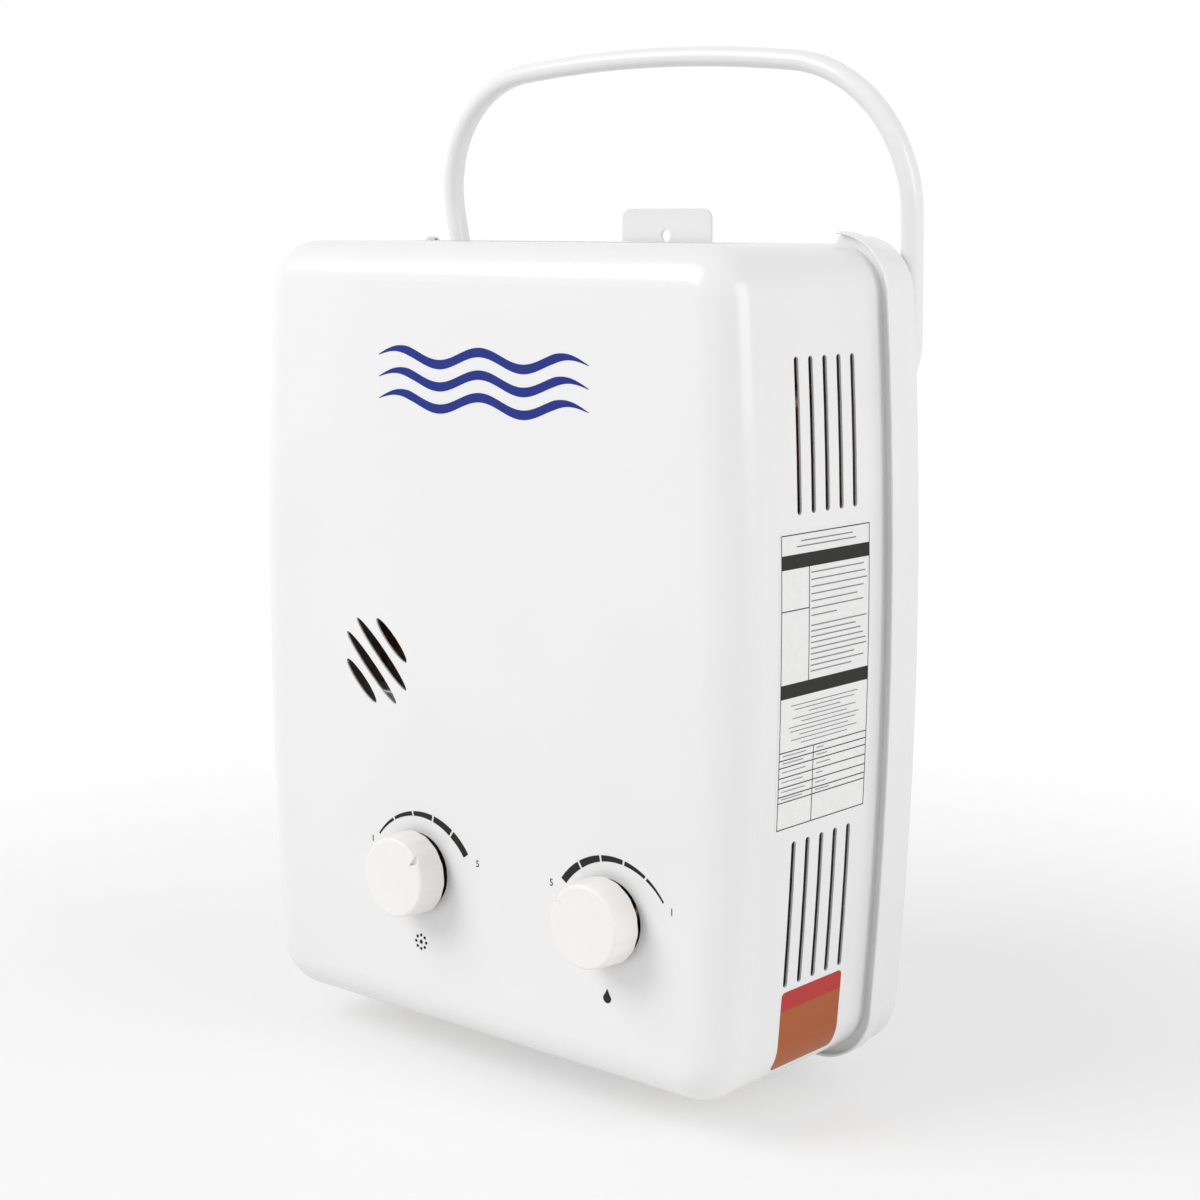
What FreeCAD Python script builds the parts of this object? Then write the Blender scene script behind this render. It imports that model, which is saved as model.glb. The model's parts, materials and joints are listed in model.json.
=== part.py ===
import FreeCAD, Part
import math
import os

# A portable propane water heater that hangs from a tab or is carried by its folding bail.
# Frame: X is the viewer's right, Y runs from the front panel to the back, Z is up.
# The origin is on the floor, under the middle of the whole object. Millimetres.

# Casing
rim_width = 310.0
rim_height = 381.0
rim_depth = 8.0
rim_corner = 29.0
rim_step = 5.5
side_bow = 9.0
sheet = 1.0
pan_step = 2.0
pan_depth = 25.7
pan_edge = 3.0
cover_reach = 106.2
rim_wall = 1.2
rim_groove = 3.5
rim_edge = 0.5
seat_lip = 3.0
cover_corner = 24.0
cover_edge = 18.0
stand_height = 13.0
rim_notch_left = 136.0
rim_notch_right = 121.0

# Front panel
knob_left_x = -36.0
knob_right_x = 81.0
knob_height = 83.0
knob_hole = 18.0
knob_gap = 4.0
knob_length = 14.0
knob_radius = 19.6
knob_face_radius = 18.6
knob_flats = 15
knob_edge = 1.6
knob_socket = 10.0
notch_width = 5.0
notch_depth = 1.6
dial_stop = 54.5
vent_x = -64.0
vent_height = 179.8
vent_pitch = 10.0
vent_long = 45.0
vent_short = 27.0
vent_open = 6.0
vent_angle = 43.3

# Side louvres
slot_count = 5
slot_pitch = 10.3
slot_first = 43.6
slot_width = 3.2
slot_length = 66.4
slot_low = 88.0
slot_high = 296.0

# Exhaust
exhaust_width = 190.0
exhaust_depth = 46.0
exhaust_from_back = 34.0
exhaust_bars = 17
exhaust_bar = 3.0
hook_width = 16.0
hook_reach = 10.0
hook_drop = 20.0
grille_thickness = 2.0
grille_lip = 5.0

# Handle
rod_width = 9.0
rod_depth = 11.0
handle_inset = 9.2
handle_reach = 161.6
handle_corner = 65.4
handle_crown = 770.0
handle_heel = 33.0
handle_draft = 4.2
pin_start = 3.0
pin_length = 17.9
handle_lean = 8.5
handle_rest_gap = 0.4
pivot_height = 302.0
pivot_radius = 4.0
running_gap = 0.05
saddle_wall = 2.5
saddle_width = 11.0
saddle_foot = 1.6
saddle_foot_width = 18.0
saddle_foot_inner = 13.0
saddle_foot_outer = 5.0
saddle_cover = 3.0
saddle_screw_inner = 5.0
saddle_screw_outer = 4.0
rest_drop = 10.0
screw_head_radius = 3.4
screw_head = 2.2
screw_radius = 2.0
screw_length = 6.0
screw_edge = 0.8
screw_recess = 0.4

# Hanging tab
tab_width = 55.0
tab_rise = 10.3
tab_thick = 1.6
tab_foot = 34.0
tab_offset = 3.2
tab_hole_radius = 3.0
tab_hole_drop = 12.8
tab_corner = 5.0

# Combustion chamber and heat exchanger
chamber_width = 196.0
chamber_depth = 82.0
chamber_back = 13.0
chamber_low = 178.0
chamber_high = 330.0
chamber_wall = 0.8
fin_height = 40.0
fin_top_drop = 4.0
fin_thickness = 0.5
fin_pitch = 5.0
fin_margin = 3.0
exchanger_passes = 5
exchanger_pipe = 6.5
exchanger_pitch = 16.0
exchanger_stub = 2.0
exchanger_wall = 1.0
pipe_radius = 6.0
pipe_wall = 0.8
bend_radius = 12.0

# Burner
burner_count = 9
burner_bar_width = 12.0
burner_bar_height = 24.0
burner_pitch = 20.0
burner_drop = 4.0
burner_slots = 12
burner_slot_width = 1.2
frame_height = 34.0
frame_wall = 1.2
manifold_radius = 7.0
manifold_gap = 9.0
injector_radius = 3.0
bracket_height = 14.0
bracket_sheet = 1.6
bracket_width = 120.0

# Valve train
valve_line = 67.0
gas_body_width = 46.0
gas_body_depth = 42.0
gas_body_height = 44.0
gas_chamber_radius = 10.0
gas_chamber_length = 12.0
neck_length = 20.0
neck_radius = 9.0
diaphragm_radius = 27.0
diaphragm_flange = 33.0
diaphragm_sheet = 1.2
housing_half = 11.0
housing_wall = 3.0
water_body_width = 34.0
water_body_depth = 40.0
water_body_height = 42.0
rod_radius = 2.0
rod_travel = 3.0
poppet_radius = 7.0
poppet_thick = 2.5
spindle_radius = 4.0
spindle_tip_radius = 3.0
spindle_engage = 18.0
bush_radius = 8.0
bush_length = 8.0
solenoid_radius = 11.0
solenoid_length = 30.0
switch_width = 9.0
switch_depth = 20.0
switch_height = 10.0
button_radius = 1.5
button_length = 4.0
button_proud = 1.6
drain_radius = 5.0
clamp_radius = 1.4
clamp_head = 1.4
clamp_flange = 4.0
switch_free = 1.8
striker_inset = 6.0

# Connections under the casing
gas_thread_radius = 7.94
water_thread_radius = 10.67
thread_length = 16.0
thread_relief = 1.0
thread_chamfer = 0.8
gas_bore = 4.0
water_bore = 6.5
collar_height = 7.0
collar_extra = 4.0
hot_outlet_x = -92.0
hot_outlet_top = 52.0
floor_sheet = 1.2
floor_margin = 8.0
hole_gap = 0.6

# Batteries
cell_radius = 16.6
cell_length = 61.0
cell_gap = 1.0
box_wall = 2.0
box_x = 24.0
box_flange = 4.0
door_thick = 2.4
door_gap = 0.4
trunnion_radius = 1.0
trunnion_length = 1.6
contact_thick = 0.6
contact_width = 16.0
contact_depth = 12.0

# Ignition
igniter_width = 62.0
igniter_depth = 22.0
igniter_height = 32.0
igniter_x = -72.0
igniter_z = 96.0
ceramic_radius = 3.5
ceramic_length = 28.0
wire_radius = 1.0
electrode_reach = 10.0
sensor_reach = 16.0
probe_bend = 3.0
spark_gap = 3.0
lead_bend = 8.0
lead_shift = 12.0
lead_run = 20.0
lead_radius = 1.6
cutout_radius = 8.0
cutout_length = 7.0
contact_gap = 0.2

# Derived places
z_rim = stand_height
z_mid = z_rim + rim_height / 2
z_rim_top = z_rim + rim_height
cover_width = rim_width - 2 * rim_step
pan_width = rim_width - 2 * pan_step
z_cover = z_rim + rim_step
z_cover_top = z_rim_top - rim_step
z_pan_top = z_rim_top - pan_step
z_pivot = z_rim + pivot_height
z_knob = z_rim + knob_height
body_depth = cover_reach + pan_depth
handle_width = rim_width - 2 * handle_inset
lean = math.radians(handle_lean)
z_rest = z_pan_top - rest_drop
pivot_back = handle_rest_gap + rod_depth / 2 / math.cos(lean) + (z_rest - z_pivot) * math.tan(lean)
saddle_radius = pivot_radius + saddle_wall
total_depth = knob_gap + knob_length + body_depth + pivot_back + saddle_radius
y_face = -total_depth / 2 + knob_gap + knob_length
y_rim = y_face + cover_reach
y_seam = y_rim + rim_groove
y_back = y_rim + pan_depth
y_wall = y_back - sheet
y_pivot = y_back + pivot_back
handle_half = handle_width / 2 - rod_width / 2
crown_centre = handle_reach - handle_crown
corner_x = handle_half - handle_corner
corner_v = crown_centre + math.sqrt((handle_crown - handle_corner) ** 2 - corner_x ** 2)
draft = math.radians(handle_draft)
heel_x = (corner_x + (handle_corner - handle_heel) / math.cos(draft)
          - (corner_v - handle_heel) * math.tan(draft))
pin_outer_x = heel_x - pin_start
pin_inner_x = pin_outer_x - pin_length
saddle_x = pin_inner_x + saddle_cover
saddle_inner_x = saddle_x - saddle_foot_inner
saddle_outer_x = heel_x + handle_heel + rod_width / 2 + saddle_foot_outer
y_valve = y_face + valve_line
z_floor = z_cover + sheet
z_floor_top = z_floor + floor_sheet
z_chamber = z_rim + chamber_low
z_chamber_top = z_rim + chamber_high
y_chamber = y_wall - chamber_back - chamber_depth
y_chamber_back = y_wall - chamber_back
fin_low = z_chamber_top - fin_top_drop - fin_height
z_pipe = fin_low + fin_height / 2
z_frame = z_chamber - frame_height
y_exhaust = y_back - exhaust_from_back - exhaust_depth
connections = ((hot_outlet_x, water_thread_radius), (knob_left_x, gas_thread_radius),
               (knob_right_x, water_thread_radius))
box_width = 4 * cell_radius + 3 * cell_gap + 2 * box_wall
box_depth = 2 * cell_radius + 2 * cell_gap + 2 * box_wall
box_height = door_thick + door_gap + 2 * contact_thick + cell_length + box_wall
x_box_left = box_x - box_width / 2
x_box_right = box_x + box_width / 2
y_box = y_wall - box_depth
collar_reach = water_thread_radius + collar_extra
floor_left = hot_outlet_x - collar_reach
floor_right = knob_right_x + collar_reach
floor_front = y_valve - collar_reach
y_cover_screw = floor_front - floor_margin / 2
cover_screw_x = (-70.0, 45.0)
hook_x = cover_width / 2 - side_bow - cover_corner - hook_width / 2
x_neck = knob_left_x + gas_body_width / 2
x_housing = x_neck + neck_length
x_diaphragm = x_housing + housing_half
x_cover = x_diaphragm + diaphragm_sheet
x_drain = x_cover + drain_radius + 2.5
z_drain = z_knob - diaphragm_flange - 1
z_water_low = z_knob - water_body_height / 2
z_water_top = z_knob + water_body_height / 2
z_gas_low = z_knob - gas_body_height / 2
z_gas_top = z_knob + gas_body_height / 2
y_manifold = y_chamber - manifold_gap - manifold_radius
z_injector = z_frame + 12.0
z_bars = z_chamber - burner_drop
y_passes = y_chamber + chamber_depth / 2
x_pipe_end = chamber_width / 2 + exchanger_stub
z_spark = z_chamber + 12.0
y_lead = y_chamber - manifold_gap / 2
electrode_x = -2.5 * burner_pitch
x_striker = x_housing - striker_inset
x_button = x_striker - button_radius - switch_free
z_outlet_top = hot_outlet_top
y_hinge = y_wall - box_wall - door_gap - door_thick / 2
z_hinge = door_thick / 2

os.makedirs("parts", exist_ok=True)
X = FreeCAD.Vector(1, 0, 0)
Y = FreeCAD.Vector(0, 1, 0)
Z = FreeCAD.Vector(0, 0, 1)


def vec(x, y, z):
    return FreeCAD.Vector(x, y, z)


def block(x0, x1, y0, y1, z0, z1):
    return Part.makeBox(x1 - x0, y1 - y0, z1 - z0, vec(x0, y0, z0))


def rod(radius, start, axis, length):
    return Part.makeCylinder(radius, length, start, axis)


def ring(radius, bore, start, axis, length):
    return rod(radius, start, axis, length).cut(rod(bore, start, axis, length))


def fuse(*shapes):
    whole = shapes[0].multiFuse(list(shapes[1:]))
    return whole.removeSplitter()


def cut(shape, *tools):
    return shape.cut(list(tools))


def hexagon(across, start, length):
    """A hexagonal prism standing on start, along Z."""
    corner = across / math.sqrt(3)
    turns = [math.radians(60 * i) for i in range(7)]
    points = [start + vec(corner * math.cos(t), corner * math.sin(t), 0) for t in turns]
    return Part.Face(Part.makePolygon(points)).extrude(Z * length)


def round_vertical(shape, radius):
    """Rounds the edges that run along Z."""
    edges = [e for e in shape.Edges if is_straight_along(e, Z)]
    return shape.makeFillet(radius, edges)


def is_straight_along(edge, axis):
    if edge.Curve.TypeId != "Part::GeomLine":
        return False
    return abs(abs(edge.Curve.Direction.dot(axis)) - 1) < 1e-6


def save(name, shape):
    shape.exportStep(os.path.join("parts", name + ".step"))


def bowed(width, low, high, corner, front, back):
    """A slab seen from the front as a rectangle with rounded corners and convex sides."""
    def half(z):
        return width / 2 - side_bow * ((z - z_mid) / (rim_height / 2)) ** 2
    at_low = half(low)
    at_high = half(high)
    at_mid = half(z_mid)
    edges = [
        Part.makeLine(vec(-at_low, front, low), vec(at_low, front, low)),
        Part.Arc(vec(at_low, front, low), vec(at_mid, front, z_mid), vec(at_high, front, high)).toShape(),
        Part.makeLine(vec(at_high, front, high), vec(-at_high, front, high)),
        Part.Arc(vec(-at_high, front, high), vec(-at_mid, front, z_mid), vec(-at_low, front, low)).toShape(),
    ]
    slab = Part.Face(Part.Wire(edges)).extrude(Y * (back - front))
    corners = [e for e in slab.Edges if is_straight_along(e, Y)]
    return slab.makeFillet(corner, corners)


def edges_at(shape, y):
    """The edges that lie in the plane at y."""
    return [e for e in shape.Edges if abs(e.BoundBox.YMin - y) < 1e-4 and abs(e.BoundBox.YMax - y) < 1e-4]


def cover_solid(inset):
    slab = bowed(cover_width - 2 * inset, z_cover + inset, z_cover_top - inset,
                 cover_corner - inset, y_face + inset, y_seam + inset)
    return slab.makeFillet(cover_edge - inset, edges_at(slab, y_face + inset))


def oval(length, across, depth):
    """An oval cutter with its long way along X, centred on the origin."""
    outline = Part.Ellipse(vec(length / 2, 0, 0), vec(0, 0, across / 2), vec(0, 0, 0))
    return Part.Face(Part.Wire([outline.toShape()])).extrude(Y * depth)


def vent_cutters():
    cutters = []
    for i, length in enumerate((vent_short, vent_long, vent_long, vent_short)):
        shift = (i - 1.5) * vent_pitch
        cutter = oval(length, vent_open, 4 * sheet)
        cutter.translate(vec(0, 0, shift))
        cutter.rotate(vec(0, 0, 0), Y, vent_angle)
        cutter.translate(vec(vent_x, y_face - 2 * sheet, z_rim + vent_height))
        cutters.append(cutter)
    return cutters


def louvre(side, y, low):
    """A cutter for one slot with round ends, through the side wall wherever the bow puts it."""
    half = slot_width / 2
    near, far = sorted((side * (cover_width / 2 - 2 * side_bow), side * (cover_width / 2 + side_bow)))
    straight = block(near, far, y - half, y + half, low + half, low + slot_length - half)
    ends = [rod(half, vec(near, y, z), X, far - near) for z in (low + half, low + slot_length - half)]
    return fuse(straight, *ends)


def louvre_cutters():
    cutters = []
    for side in (-1, 1):
        for i in range(slot_count):
            y = y_face + slot_first + i * slot_pitch
            for low in (z_rim + slot_low - slot_length / 2, z_rim + slot_high - slot_length / 2):
                cutters.append(louvre(side, y, low))
    return cutters


def tube(points, radius, bore=0.0, bend=bend_radius):
    """A pipe along straight runs joined by tangent arcs."""
    edges = []
    start = points[0]
    for before, corner, after in zip(points, points[1:], points[2:]):
        back = (before - corner).normalize()
        ahead = (after - corner).normalize()
        half = back.getAngle(ahead) / 2
        reach = bend / math.tan(half)
        first = corner + back * reach
        last = corner + ahead * reach
        centre = corner + (back + ahead).normalize() * (bend / math.sin(half))
        middle = centre + (corner - centre).normalize() * bend
        edges.append(Part.makeLine(start, first))
        edges.append(Part.Arc(first, middle, last).toShape())
        start = last
    edges.append(Part.makeLine(start, points[-1]))
    return pipe(edges, points[1] - points[0], radius, bore)


def pipe(edges, direction, radius, bore=0.0):
    path = Part.Wire(edges)
    start = edges[0].Vertexes[0].Point

    def sweep(size):
        circle = Part.Wire(Part.makeCircle(size, start, direction))
        return Part.Wire(path).makePipeShell([circle], True, False)
    if bore:
        return sweep(radius).cut(sweep(bore))
    return sweep(radius)


def prism(points, axis_length):
    """A closed outline extruded along a vector."""
    return Part.Face(Part.makePolygon(points + points[:1])).extrude(axis_length)


# Casing

def rear_casing():
    def slab(width, inset, corner, front, back):
        return bowed(width - 2 * inset, z_rim + inset + (rim_width - width) / 2,
                     z_rim_top - inset - (rim_width - width) / 2, corner - inset, front, back)
    y_step = y_rim + rim_depth
    pan_corner = rim_corner - pan_step
    outer_pan = slab(pan_width, 0, pan_corner, y_step - sheet / 2, y_back)
    outer_pan = outer_pan.makeFillet(pan_edge, edges_at(outer_pan, y_back))
    inner_pan = slab(pan_width, sheet, pan_corner, y_step - 2 * sheet, y_wall)
    inner_pan = inner_pan.makeFillet(pan_edge - sheet, edges_at(inner_pan, y_wall))
    groove = slab(rim_width, rim_wall, rim_corner, y_rim - 1, y_seam)
    outer_rim = cut(slab(rim_width, 0, rim_corner, y_rim, y_step), groove)
    outer_rim = outer_rim.makeFillet(rim_edge, edges_at(outer_rim, y_rim))
    inner_rim = slab(rim_width, sheet, rim_corner, y_seam + sheet, y_step - sheet)
    mouth = bowed(cover_width - 2 * seat_lip, z_cover + seat_lip, z_cover_top - seat_lip,
                  cover_corner - seat_lip, y_seam - 1, y_seam + 2 * sheet)
    y_clear = y_seam + 2 * sheet
    seats = [block(floor_left - floor_margin, floor_right + floor_margin, y_seam - 1, y_clear,
                   z_cover, z_cover + 2 * seat_lip)]
    for x in (-hook_x, hook_x):
        seats.append(block(x - hook_width / 2, x + hook_width / 2, y_seam - 1, y_clear,
                           z_cover_top - 2 * seat_lip, z_cover_top - sheet))
    shell = cut(fuse(outer_rim, outer_pan), inner_rim, inner_pan, mouth, *seats)
    slant = rim_step * math.tan(math.radians(30))
    notch = prism([vec(-rim_notch_left + slant, y_rim - 1, z_cover_top),
                   vec(rim_notch_right - slant, y_rim - 1, z_cover_top),
                   vec(rim_notch_right + slant, y_rim - 1, z_rim_top + rim_step),
                   vec(-rim_notch_left - slant, y_rim - 1, z_rim_top + rim_step)],
                  Y * (pan_depth + 2))
    lintel = block(-rim_notch_left + slant, rim_notch_right - slant, y_seam + contact_gap, y_wall,
                   z_cover_top - sheet, z_cover_top)
    hole = block(x_box_left - hole_gap, x_box_right + hole_gap, y_box - hole_gap, y_wall, 0, z_floor_top)
    screws = [rod(screw_radius, vec(x, y_wall - 1, z_pivot), Y, 3) for x in handle_screw_places()]
    return cut(fuse(cut(shell, notch), lintel), hole, *screws)


def front_cover():
    holes = [rod(knob_hole, vec(x, y_face - 1, z_knob), Y, 2 + sheet) for x in (knob_left_x, knob_right_x)]
    slot = block(floor_left, floor_right, floor_front, y_seam + 1, z_cover - 1, z_floor + contact_gap)
    exhaust = block(-exhaust_width / 2, exhaust_width / 2, y_exhaust, y_exhaust + exhaust_depth,
                    z_cover_top - 2 * sheet, z_cover_top + 1)
    screws = [rod(screw_radius, vec(x, y_cover_screw, z_cover - 1), Z, 3) for x in cover_screw_x]
    shell = cut(cover_solid(0), cover_solid(sheet))
    return cut(shell, slot, exhaust, *holes, *screws, *vent_cutters(), *louvre_cutters())


def floor_plate():
    plate = block(floor_left - floor_margin, floor_right + floor_margin, floor_front - floor_margin,
                  y_wall, z_floor, z_floor_top)
    holes = [rod(r + hole_gap, vec(x, y_valve, z_cover), Z, 5) for x, r in connections]
    holes.append(block(x_box_left - hole_gap, x_box_right + hole_gap, y_box - hole_gap, y_wall + 1,
                       z_cover, z_floor_top + 1))
    holes += [rod(screw_radius, vec(x, y_cover_screw, z_cover), Z, 5) for x in cover_screw_x]
    return cut(plate, *holes)


def screw(start, axis):
    """A pan-head screw: start is under the head, axis points along the shank."""
    head = rod(screw_head_radius, start - axis * screw_head, axis, screw_head)
    rim = [e for e in head.Edges if abs((e.CenterOfMass - start).dot(axis) + screw_head) < 1e-6]
    head = head.makeFillet(screw_edge, rim)
    recess = rod(screw_recess, start - axis * screw_head, axis, 2 * screw_recess)
    shank = rod(screw_radius - contact_gap / 2, start, axis, screw_length)
    return cut(fuse(head, shank), recess)


def cover_screws():
    return Part.makeCompound([screw(vec(x, y_cover_screw, z_cover), Z) for x in cover_screw_x])


def top_hooks():
    hooks = []
    for x in (-hook_x, hook_x):
        under = z_cover_top - sheet
        left = x - hook_width / 2
        right = x + hook_width / 2
        arm = block(left, right, y_seam - hook_reach, y_wall, under - bracket_sheet, under)
        foot = block(left, right, y_wall - bracket_sheet, y_wall, under - hook_drop, under)
        hooks.append(fuse(arm, foot))
    return Part.makeCompound(hooks)


def exhaust_grille():
    z = z_cover_top - sheet
    plate = block(-exhaust_width / 2 - grille_lip, exhaust_width / 2 + grille_lip,
                  y_exhaust - grille_lip, y_exhaust + exhaust_depth + grille_lip, z - grille_thickness, z)
    pitch = exhaust_width / exhaust_bars
    gaps = []
    for i in range(exhaust_bars):
        left = -exhaust_width / 2 + i * pitch + exhaust_bar / 2
        gaps.append(block(left, left + pitch - exhaust_bar, y_exhaust, y_exhaust + exhaust_depth,
                          z - 2 * grille_thickness, z + 1))
    return cut(plate, *gaps)


# Handle

def handle_screw_places():
    places = (saddle_inner_x + saddle_screw_inner, saddle_outer_x - saddle_screw_outer)
    return [side * x for side in (-1, 1) for x in places]


def handle_saddles():
    saddles = []
    for side in (-1, 1):
        y_foot = y_back + saddle_foot
        low, high = sorted((side * saddle_inner_x, side * saddle_outer_x))
        half = saddle_foot_width / 2
        foot = block(low, high, y_back, y_foot, z_pivot - half, z_pivot + half)
        near, far = sorted((side * saddle_x, side * (saddle_x + saddle_width)))
        web = block(near, far, y_foot, y_pivot, z_pivot - saddle_radius, z_pivot + saddle_radius)
        boss = rod(saddle_radius, vec(near, y_pivot, z_pivot), X, saddle_width)
        bore = rod(pivot_radius + running_gap, vec(near - 1, y_pivot, z_pivot), X, saddle_width + 2)
        holes = [rod(screw_radius, vec(x, y_back - 1, z_pivot), Y, 4) for x in handle_screw_places()]
        saddles.append(cut(fuse(foot, web, boss), bore, *holes))
    return Part.makeCompound(saddles)


def handle_screws():
    return Part.makeCompound([screw(vec(x, y_back + saddle_foot, z_pivot), -Y)
                              for x in handle_screw_places()])


def handle_rod():
    """The bail: a flat-sided rod bent in one plane, leaning on the top edge of the casing."""
    swing = math.asin(corner_x / (handle_crown - handle_corner))

    def at(x, v):
        return vec(x, 0, v)

    def about(cx, cv, radius, angle):
        return at(cx + radius * math.sin(angle), cv + radius * math.cos(angle))
    turn = math.pi / 2 + draft
    heel_end = about(heel_x, handle_heel, handle_heel, turn)
    leg_end = about(corner_x, corner_v, handle_corner, turn)
    right = [
        Part.makeLine(at(pin_outer_x, 0), at(heel_x, 0)),
        Part.Arc(at(heel_x, 0), about(heel_x, handle_heel, handle_heel, (turn + math.pi) / 2),
                 heel_end).toShape(),
        Part.makeLine(heel_end, leg_end),
        Part.Arc(leg_end, about(corner_x, corner_v, handle_corner, (turn + swing) / 2),
                 about(corner_x, corner_v, handle_corner, swing)).toShape(),
    ]
    top = Part.Arc(about(0, crown_centre, handle_crown, swing), at(0, handle_reach),
                   about(0, crown_centre, handle_crown, -swing)).toShape()
    mirrored = [e.mirror(vec(0, 0, 0), X) for e in right]
    path = Part.Wire(Part.__sortEdges__(right + [top] + mirrored))
    flat = (rod_depth - rod_width) / 2
    r = rod_width / 2
    x0 = pin_outer_x
    outline = Part.Wire([
        Part.makeLine(vec(x0, -flat, r), vec(x0, flat, r)),
        Part.Arc(vec(x0, flat, r), vec(x0, flat + r, 0), vec(x0, flat, -r)).toShape(),
        Part.makeLine(vec(x0, flat, -r), vec(x0, -flat, -r)),
        Part.Arc(vec(x0, -flat, -r), vec(x0, -flat - r, 0), vec(x0, -flat, r)).toShape(),
    ])
    bail = path.makePipeShell([outline], True, False)
    pins = []
    for side in (-1, 1):
        low = min(side * pin_inner_x, side * pin_outer_x)
        pins.append(rod(pivot_radius, vec(low, 0, 0), X, pin_length))
    bail = fuse(bail, *pins)
    bail.rotate(vec(0, 0, 0), X, handle_lean)
    bail.translate(vec(0, y_pivot, z_pivot))
    return bail


def hanger_tab():
    z_foot = z_cover_top - tab_foot
    z_jog = z_cover_top - 12
    z_top = z_cover_top + tab_rise + rim_step
    profile = [vec(-tab_width / 2, y_back + y, z) for y, z in (
        (0, z_foot), (tab_thick, z_foot), (tab_thick, z_jog), (tab_offset + tab_thick, z_jog + 6),
        (tab_offset + tab_thick, z_top), (tab_offset, z_top), (tab_offset, z_jog + 6.5), (0, z_jog + 0.5))]
    plate = prism(profile, X * tab_width)
    tops = [e for e in plate.Edges if is_straight_along(e, Y) and e.CenterOfMass.z > z_top - 0.01]
    plate = plate.makeFillet(tab_corner, tops)
    return cut(plate, rod(tab_hole_radius, vec(0, y_back, z_top - tab_hole_drop), Y, 10))


# Burning and heating

def open_box(x0, x1, y0, y1, z0, z1, wall):
    """Four walls, open at the top and the bottom."""
    inner = block(x0 + wall, x1 - wall, y0 + wall, y1 - wall, z0 - 1, z1 + 1)
    return block(x0, x1, y0, y1, z0, z1).cut(inner)


def pass_places():
    first = -(exchanger_passes - 1) / 2
    return [y_passes + (first + i) * exchanger_pitch for i in range(exchanger_passes)]


def pass_holes(x0, x1, gap):
    return [rod(exchanger_pipe + gap, vec(x0, y, z_pipe), X, x1 - x0) for y in pass_places()]


def combustion_chamber():
    half = chamber_width / 2
    walls = open_box(-half, half, y_chamber, y_chamber_back, z_chamber, z_chamber_top, chamber_wall)
    probes = [rod(ceramic_radius + contact_gap, vec(x, y_chamber - 1, z_spark), Y, 3)
              for x in probe_places()]
    return cut(walls, *pass_holes(-half - 1, half + 1, contact_gap), *probes)


def exchanger_fins():
    half = chamber_width / 2 - chamber_wall - fin_margin
    count = int(2 * half / fin_pitch) + 1
    first = -(count - 1) / 2 * fin_pitch
    fins = []
    for i in range(count):
        x = first + i * fin_pitch - fin_thickness / 2
        fin = block(x, x + fin_thickness, y_chamber + chamber_wall, y_chamber_back - chamber_wall,
                    fin_low, fin_low + fin_height)
        fins.append(cut(fin, *pass_holes(x - 1, x + fin_thickness + 1, contact_gap / 4)))
    return Part.makeCompound(fins)


def exchanger_pipes():
    """One serpentine: in at the right front, out at the left back."""
    edges = []
    rows = pass_places()
    side = 1
    for i, y in enumerate(rows):
        start = vec(side * x_pipe_end, y, z_pipe)
        end = vec(-side * x_pipe_end, y, z_pipe)
        edges.append(Part.makeLine(start, end))
        side = -side
        if i + 1 < len(rows):
            turn = exchanger_pitch / 2
            middle = vec(side * (x_pipe_end + turn), y + turn, z_pipe)
            edges.append(Part.Arc(end, middle, vec(side * x_pipe_end, rows[i + 1], z_pipe)).toShape())
    return pipe(edges, X, exchanger_pipe, exchanger_pipe - exchanger_wall)


def flue_hood():
    def frame(inset, low, high):
        def outline(x, y0, y1, z):
            corners = [vec(-x, y0, z), vec(x, y0, z), vec(x, y1, z), vec(-x, y1, z)]
            return Part.makePolygon(corners + corners[:1])
        lower = outline(chamber_width / 2 - inset, y_chamber + inset, y_chamber_back - inset, low)
        upper = outline(exhaust_width / 2 + inset_top - inset, y_exhaust - inset_top + inset,
                        y_exhaust + exhaust_depth + inset_top - inset, high)
        return Part.makeLoft([lower, upper], True, True)
    inset_top = 2 * chamber_wall
    high = z_cover_top - sheet - grille_thickness
    return frame(0, z_chamber_top, high).cut(frame(chamber_wall, z_chamber_top - 0.01, high + 0.01))


def chamber_brackets():
    brackets = []
    for z in (z_chamber + bracket_height, fin_low - 2 * bracket_height):
        half = bracket_width / 2
        outer = block(-half, half, y_chamber_back, y_wall, z, z + bracket_height)
        inner = block(-half + bracket_sheet, half - bracket_sheet, y_chamber_back + bracket_sheet, y_wall + 1,
                      z - 1, z + bracket_height + 1)
        brackets.append(outer.cut(inner))
    return Part.makeCompound(brackets)


def bar_places():
    return [(i - (burner_count - 1) / 2) * burner_pitch for i in range(burner_count)]


def burner_bars():
    y0 = y_chamber + frame_wall
    y1 = y_chamber_back - frame_wall
    bars = []
    for x in bar_places():
        half = burner_bar_width / 2
        bar = block(x - half, x + half, y0, y1, z_bars - burner_bar_height, z_bars)
        tops = [e for e in bar.Edges if is_straight_along(e, Y) and e.CenterOfMass.z > z_bars - 0.01]
        bar = bar.makeFillet(half / 2, tops)
        pitch = (y1 - y0) / (burner_slots + 1)
        flames = []
        for k in range(burner_slots):
            y = y0 + (k + 1) * pitch
            flames.append(block(x - half / 3, x + half / 3, y, y + burner_slot_width, z_bars - 3, z_bars + 1))
        mouth = rod(injector_radius + 1, vec(x, y0 - 1, z_injector), Y, 20)
        bars.append(cut(bar, mouth, *flames))
    return Part.makeCompound(bars)


def burner_frame():
    half = chamber_width / 2
    walls = open_box(-half, half, y_chamber, y_chamber_back, z_frame, z_chamber, frame_wall)
    mouths = [rod(injector_radius + 1, vec(x, y_chamber - 1, z_injector), Y, 4) for x in bar_places()]
    return cut(walls, *mouths)


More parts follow.
